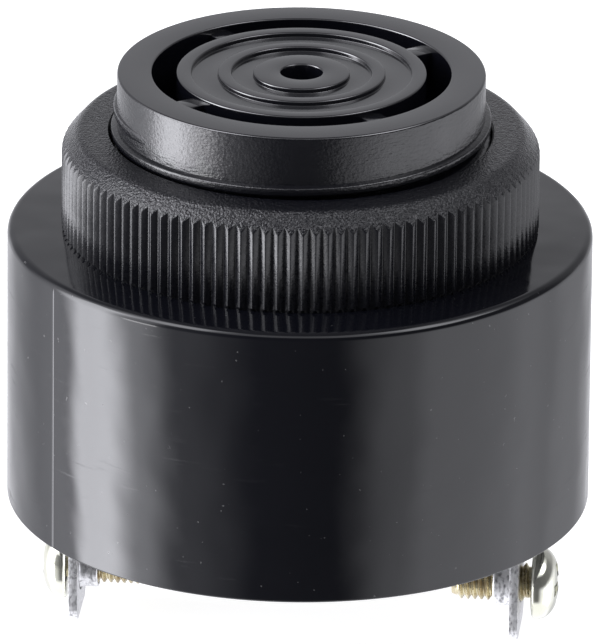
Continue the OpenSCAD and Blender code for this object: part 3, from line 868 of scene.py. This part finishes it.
def makeCamera():
    s = cameraSpec
    data = bpy.data.cameras.new("camera")
    data.sensor_width = s["sensor"]
    data.lens = s["focalPixels"] * s["sensor"] / s["imageHigh"]
    data.clip_start, data.clip_end = s["clip"]
    middle = Vector((0, 0, s["axisPoint"]))
    outward = outwardTo(s["azimuth"], s["elevation"])
    eye = middle + outward * s["distance"]
    right = outwardTo(s["azimuth"] + 90, 0)
    up = outward.cross(right)
    aim = middle + right * s["aimRight"] - up * s["aimDown"]
    forward = (aim - eye).normalized()
    right = forward.cross(up).normalized()
    up = right.cross(forward)
    roll = math.radians(s["roll"])
    rolledRight = right * math.cos(roll) + up * math.sin(roll)
    rolledUp = up * math.cos(roll) - right * math.sin(roll)
    turn = Matrix((rolledRight, rolledUp, -forward)).transposed()
    camera = bpy.data.objects.new("camera", data)
    camera.matrix_world = Matrix.Translation(eye * mm) @ turn.to_4x4()
    scene.collection.objects.link(camera)
    scene.camera = camera


makeCamera()
print("camera ready")

# stage: pale floor and soft studio light

floorSpec = {"size": 6.0, "glow": 0.9, "color": (0.5, 0.5, 0.5), "rough": 0.9, "gap": 0.05}
# directions are counted from the camera, left is negative; radiance is the brightness seen there
lowSweep = [(-180, 0.95), (-128, 0.95), (-105, 1.7), (-95, 8.0), (-81, 9.5), (-66, 3.3),
            (-46, 0.7), (-14, 0.12), (14, 0.1), (42, 1.2), (55, 1.8), (98, 1.75), (120, 1.1),
            (147, 0.65), (180, 0.9)]
highSweep = [(-180, 0.57), (-130, 0.42), (-108, 1.6), (-95, 8.0), (-80, 9.0), (-66, 2.5),
             (-48, 0.25), (-20, 0.08), (20, 0.08), (50, 0.1), (80, 0.12), (110, 0.16),
             (140, 0.36), (180, 0.57)]
wallSweep = [(-180, 0.2), (-130, 0.3), (-100, 1.6), (-80, 5.0), (-56, 5.0), (-34, 1.2), (0, 1.0),
             (36, 1.4), (58, 4.4), (84, 4.4), (105, 1.0), (135, 0.3), (180, 0.2)]
sweepTop = 10.0  # the brightest that a sweep can show
lightTint = (1, 1.005, 1.06)  # a cool daylight
# elevations between which one sweep or glow gives way to the next
horizon = {"from": -8, "to": 8}
wallBand = {"from": 34, "to": 44}
skyGlow = {"level": 0.2, "from": 60, "to": 72}
tableGlow = {"level": 1.3, "from": -38, "to": -52}
panelSpec = {"azimuth": -61, "elevation": -5, "distance": 0.9, "wide": 0.22, "high": 0.16,
             "radiance": 5.0}


def makeFloor():
    s = floorSpec
    bm = bmesh.new()
    bmesh.ops.create_grid(bm, x_segments=1, y_segments=1, size=s["size"] / 2)
    mesh = bpy.data.meshes.new("floor")
    bm.to_mesh(mesh)
    bm.free()
    floor = bpy.data.objects.new("floor", mesh)
    floor.location.z = cadBox[0].z - s["gap"] * mm
    material, tree, bsdf = startMaterial("floor_paper")
    bsdf.inputs["Base Color"].default_value = (*s["color"], 1)
    bsdf.inputs["Emission Color"].default_value = (1, 1, 1, 1)
    bsdf.inputs["Emission Strength"].default_value = s["glow"]
    bsdf.inputs["Roughness"].default_value = s["rough"]
    bsdf.inputs["Specular IOR Level"].default_value = 0.0
    seeThroughFromBelow(tree, bsdf)
    mesh.materials.append(material)
    scene.collection.objects.link(floor)
    # the black plastic mirrors the studio, and the paper under it stays out of its reflections
    floor.visible_glossy = False
    floor.visible_diffuse = False
    floor.visible_shadow = False


def seeThroughFromBelow(tree, bsdf):
    # so the rear of the part can be looked at
    mix = tree.nodes.new("ShaderNodeMixShader")
    below = tree.nodes.new("ShaderNodeNewGeometry").outputs["Backfacing"]
    clear = tree.nodes.new("ShaderNodeBsdfTransparent").outputs["BSDF"]
    for socket, value in zip(mix.inputs, (below, bsdf.outputs["BSDF"], clear)):
        tree.links.new(value, socket)
    tree.links.new(mix.outputs["Shader"], tree.nodes["Material Output"].inputs["Surface"])


def tinted(radiance):
    return tuple(radiance / sweepTop * t for t in lightTint)


def sweepColor(tree, azimuth, sweep):
    node = tree.nodes.new("ShaderNodeValToRGB")
    node.color_ramp.interpolation = "EASE"
    stops = node.color_ramp.elements
    while len(stops) < len(sweep):
        stops.new(0.5)
    for stop, (degrees, radiance) in zip(stops, sweep):
        stop.position = degrees / 360 + 0.5
        stop.color = (*tinted(radiance), 1)
    tree.links.new(azimuth, node.inputs["Fac"])
    return node.outputs["Color"]


def along(tree, direction, axis):
    node = tree.nodes.new("ShaderNodeVectorMath")
    node.operation = "DOT_PRODUCT"
    tree.links.new(direction, node.inputs[0])
    node.inputs[1].default_value = axis
    return node.outputs["Value"]


def makeWorld():
    world = bpy.data.worlds.new("studio")
    world.use_nodes = True
    tree = world.node_tree
    direction = tree.nodes.new("ShaderNodeTexCoord").outputs["Generated"]
    toward = cameraSpec["azimuth"]
    right, near = [along(tree, direction, outwardTo(a, 0)) for a in (toward + 90, toward)]
    azimuth = ramp(tree, math2(tree, "ARCTAN2", right, near), 0, 1, -math.pi, math.pi)
    height = split(tree, direction)[2]
    glow = sweepColor(tree, azimuth, lowSweep)
    bands = [(horizon, sweepColor(tree, azimuth, highSweep)),
             (wallBand, sweepColor(tree, azimuth, wallSweep)),
             (skyGlow, tinted(skyGlow["level"])),
             (tableGlow, tinted(tableGlow["level"]))]
    for band, color in bands:
        edges = [math.sin(math.radians(band[end])) for end in ("from", "to")]
        glow = blendColor(tree, ramp(tree, height, 0, 1, *edges, smooth=True), glow, color)
    background = tree.nodes["Background"]
    tree.links.new(glow, background.inputs["Color"])
    background.inputs["Strength"].default_value = sweepTop
    scene.world = world
    scene.view_settings.view_transform = "Standard"


def makePanel():
    s = panelSpec
    data = bpy.data.lights.new("left_panel", "AREA")
    data.shape = "RECTANGLE"
    data.size, data.size_y = s["wide"], s["high"]
    data.energy = s["radiance"] * math.pi * s["wide"] * s["high"]
    outward = outwardTo(cameraSpec["azimuth"] + s["azimuth"], s["elevation"])
    light = bpy.data.objects.new("left_panel", data)
    light.location = outward * s["distance"]
    light.rotation_euler = outward.to_track_quat("Z", "Y").to_euler()
    light.visible_camera = False
    scene.collection.objects.link(light)


makeFloor()
makeWorld()
makePanel()
print("stage ready")
